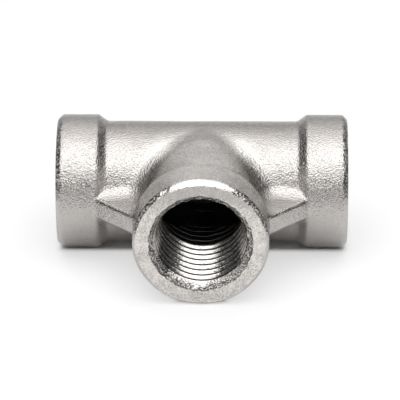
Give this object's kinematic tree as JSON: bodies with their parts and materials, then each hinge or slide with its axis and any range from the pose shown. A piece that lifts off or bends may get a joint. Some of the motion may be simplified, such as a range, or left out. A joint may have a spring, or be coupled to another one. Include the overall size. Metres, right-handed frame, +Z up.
{
  "type": "threaded tee",
  "caption": "Equal pipe tee cast in stainless steel, with banded collars, a gusset web in each corner and a female taper pipe thread in every end.",
  "frame": {"origin": "on the floor under the middle of the outline, where the tee lies on its three collars", "axes": "+X along the run, -Y out of the branch, +Z up, across the plane of the axes"},
  "size_m": [0.039, 0.0286, 0.018],
  "materials": {
    "cast_stainless": "blasted as-cast stainless skin, turned end faces, cut threads"
  },
  "bodies": {
    "root": {"tee_body": "cast_stainless"}
  },
  "joints": []
}
